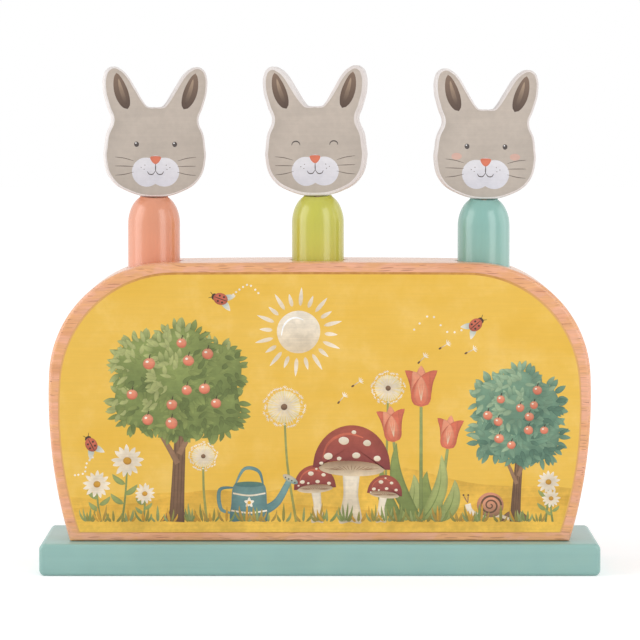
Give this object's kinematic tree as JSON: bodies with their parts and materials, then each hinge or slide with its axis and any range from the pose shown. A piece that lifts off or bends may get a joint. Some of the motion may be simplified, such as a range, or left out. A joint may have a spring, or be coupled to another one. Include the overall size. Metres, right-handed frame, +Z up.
{
  "type": "pop-up toy",
  "caption": "Pop-up toy: flat rabbit heads on painted sprung pegs that press down into a loaf-shaped beech block with a printed front, on a painted base board.",
  "frame": {"origin": "middle of the base board's underside", "axes": "+X to the right as seen from the front, +Y to the back, +Z up"},
  "size_m": [0.2376, 0.068, 0.2159],
  "materials": {
    "beech": "bare beech, sanded, clear satin oil",
    "yellow_print": "printed thin plywood, satin, grain showing",
    "board_paint": "blue-green satin paint",
    "peach_paint": "peach semi-gloss paint",
    "green_paint": "lime green semi-gloss paint",
    "teal_paint": "blue-green semi-gloss paint",
    "taupe_print": "printed plywood, satin, pale unprinted border",
    "plain_beech": "turned, bare",
    "steel": "zinc plated"
  },
  "bodies": {
    "toy_body": {"base_board": "board_paint", "body_block": "beech", "front_panel": "yellow_print", "base_screw_1": "steel", "base_screw_2": "steel", "base_screw_3": "steel", "base_screw_4": "steel", "left_spring": "steel", "middle_spring": "steel", "right_spring": "steel"},
    "left_lift": {"left_spring_seat": "plain_beech"},
    "left_rabbit": {"left_head": "taupe_print", "left_neck_dowel": "plain_beech", "left_peg": "peach_paint", "left_seat_screw": "steel", "left_seat_washer": "steel"},
    "middle_lift": {"middle_spring_seat": "plain_beech"},
    "middle_rabbit": {"middle_head": "taupe_print", "middle_neck_dowel": "plain_beech", "middle_peg": "green_paint", "middle_seat_screw": "steel", "middle_seat_washer": "steel"},
    "right_lift": {"right_spring_seat": "plain_beech"},
    "right_rabbit": {"right_head": "taupe_print", "right_neck_dowel": "plain_beech", "right_peg": "teal_paint", "right_seat_screw": "steel", "right_seat_washer": "steel"}
  },
  "joints": [
    {"name": "press_left", "type": "slide", "parent": "toy_body", "child": "left_lift", "axis": [0, 0, -1], "range_m": [0, 0.024], "stiffness_N_per_m": 510, "springref_m": -0.006, "deforming": ["left_spring"]},
    {"name": "turn_left", "type": "hinge", "parent": "left_lift", "child": "left_rabbit", "pos_m": [-0.07122, 0, 0.0543], "axis": [0, 0, 1], "continuous": true},
    {"name": "press_middle", "type": "slide", "parent": "toy_body", "child": "middle_lift", "axis": [0, 0, -1], "range_m": [0, 0.024], "stiffness_N_per_m": 510, "springref_m": -0.006, "deforming": ["middle_spring"]},
    {"name": "turn_middle", "type": "hinge", "parent": "middle_lift", "child": "middle_rabbit", "pos_m": [-0.0008, 0, 0.0543], "axis": [0, 0, 1], "continuous": true},
    {"name": "press_right", "type": "slide", "parent": "toy_body", "child": "right_lift", "axis": [0, 0, -1], "range_m": [0, 0.024], "stiffness_N_per_m": 510, "springref_m": -0.006, "deforming": ["right_spring"]},
    {"name": "turn_right", "type": "hinge", "parent": "right_lift", "child": "right_rabbit", "pos_m": [0.07042, 0, 0.0543], "axis": [0, 0, 1], "continuous": true}
  ]
}
